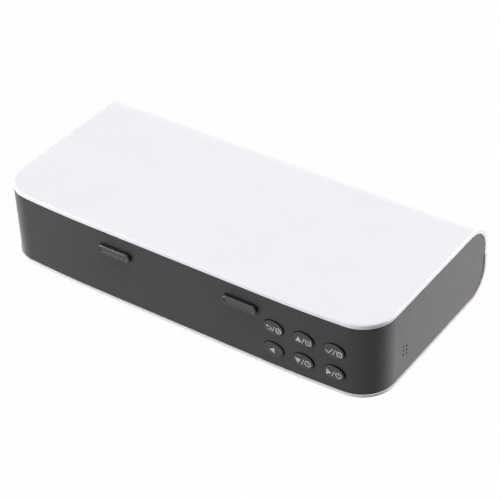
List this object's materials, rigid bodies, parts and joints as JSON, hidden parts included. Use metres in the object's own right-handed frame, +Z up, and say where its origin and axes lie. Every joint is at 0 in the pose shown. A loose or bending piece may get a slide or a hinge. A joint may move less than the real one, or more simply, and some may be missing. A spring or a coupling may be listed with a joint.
{
  "type": "automatic pill dispenser",
  "caption": "Low table-top pill dispenser: hinged white lid wraps round the back of a dark body with removable trays, two push latches and a group of oval keys.",
  "frame": {"origin": "on the surface that the feet stand on, under the middle of the overall box", "axes": "+X along the length towards the keys' end, -Y is the front with the latches and keys, +Z is up"},
  "size_m": [0.2312, 0.1162, 0.0454],
  "materials": {
    "shell_white": "smooth white moulded shell",
    "band_grey": "satin dark grey moulding",
    "key_black": "gloss black with light printed symbols",
    "latch_black": "gloss black",
    "deck_grey": "fine matt grey moulding",
    "liner_grey": "matt light grey moulding",
    "tray_frost": "translucent frosted moulding",
    "board_green": "printed circuit board",
    "light_lens": "clear light body",
    "clear_window": "clear acrylic",
    "display_grey": "liquid crystal display",
    "spring_steel": "spring steel",
    "screw_steel": "plated steel",
    "foot_rubber": "black rubber",
    "seal_silicone": "grey silicone",
    "battery_skin": "shrink-wrapped steel can",
    "cradle_black": "black nylon",
    "speaker_metal": "pressed frame"
  },
  "bodies": {
    "body": {"base_shell": "shell_white", "housing_band": "band_grey", "deck": "deck_grey", "day_tray_1": "tray_frost", "day_tray_2": "tray_frost", "day_tray_3": "tray_frost", "day_tray_4": "tray_frost", "day_tray_5": "tray_frost", "day_tray_6": "tray_frost", "day_tray_7": "tray_frost", "light_board": "board_green", "cell_lights": "light_lens", "display_window": "clear_window", "display_module": "display_grey", "main_board": "board_green", "key_board": "board_green", "keypad_mat": "seal_silicone", "left_latch_spring": "spring_steel", "right_latch_spring": "spring_steel", "battery_cell": "battery_skin", "battery_cradle": "cradle_black", "speaker": "speaker_metal", "charging_socket": "screw_steel", "charging_board": "board_green", "rubber_feet": "foot_rubber", "hinge_pins": "screw_steel", "base_screws": "screw_steel", "board_screws": "screw_steel"},
    "lid": {"lid_shell": "shell_white", "lid_liner": "liner_grey", "lid_gasket": "seal_silicone"},
    "left_latch": {"left_latch": "latch_black"},
    "right_latch": {"right_latch": "latch_black"},
    "key_back": {"key_back": "key_black"},
    "key_up": {"key_up": "key_black"},
    "key_ok": {"key_ok": "key_black"},
    "key_left": {"key_left": "key_black"},
    "key_down": {"key_down": "key_black"},
    "key_right": {"key_right": "key_black"}
  },
  "joints": [
    {"name": "lid_hinge", "type": "hinge", "parent": "body", "child": "lid", "pos_m": [0, 0.05593, 0.023], "axis": [-1, 0, 0], "range_deg": [0, 105]},
    {"name": "left_latch_push", "type": "slide", "parent": "body", "child": "left_latch", "axis": [0, 1, 0], "range_m": [0, 0.002], "stiffness_N_per_m": 300, "springref_m": -0.002, "deforming": ["left_latch_spring"]},
    {"name": "right_latch_push", "type": "slide", "parent": "body", "child": "right_latch", "axis": [0, 1, 0], "range_m": [0, 0.002], "stiffness_N_per_m": 300, "springref_m": -0.002, "deforming": ["right_latch_spring"]},
    {"name": "key_back_press", "type": "slide", "parent": "body", "child": "key_back", "axis": [0, 1, 0], "range_m": [0, 0.0006], "stiffness_N_per_m": 1000, "springref_m": -0.0003, "deforming": ["keypad_mat"]},
    {"name": "key_up_press", "type": "slide", "parent": "body", "child": "key_up", "axis": [0, 1, 0], "range_m": [0, 0.0006], "stiffness_N_per_m": 1000, "springref_m": -0.0003, "deforming": ["keypad_mat"]},
    {"name": "key_ok_press", "type": "slide", "parent": "body", "child": "key_ok", "axis": [0, 1, 0], "range_m": [0, 0.0006], "stiffness_N_per_m": 1000, "springref_m": -0.0003, "deforming": ["keypad_mat"]},
    {"name": "key_left_press", "type": "slide", "parent": "body", "child": "key_left", "axis": [0, 1, 0], "range_m": [0, 0.0006], "stiffness_N_per_m": 1000, "springref_m": -0.0003, "deforming": ["keypad_mat"]},
    {"name": "key_down_press", "type": "slide", "parent": "body", "child": "key_down", "axis": [0, 1, 0], "range_m": [0, 0.0006], "stiffness_N_per_m": 1000, "springref_m": -0.0003, "deforming": ["keypad_mat"]},
    {"name": "key_right_press", "type": "slide", "parent": "body", "child": "key_right", "axis": [0, 1, 0], "range_m": [0, 0.0006], "stiffness_N_per_m": 1000, "springref_m": -0.0003, "deforming": ["keypad_mat"]}
  ]
}
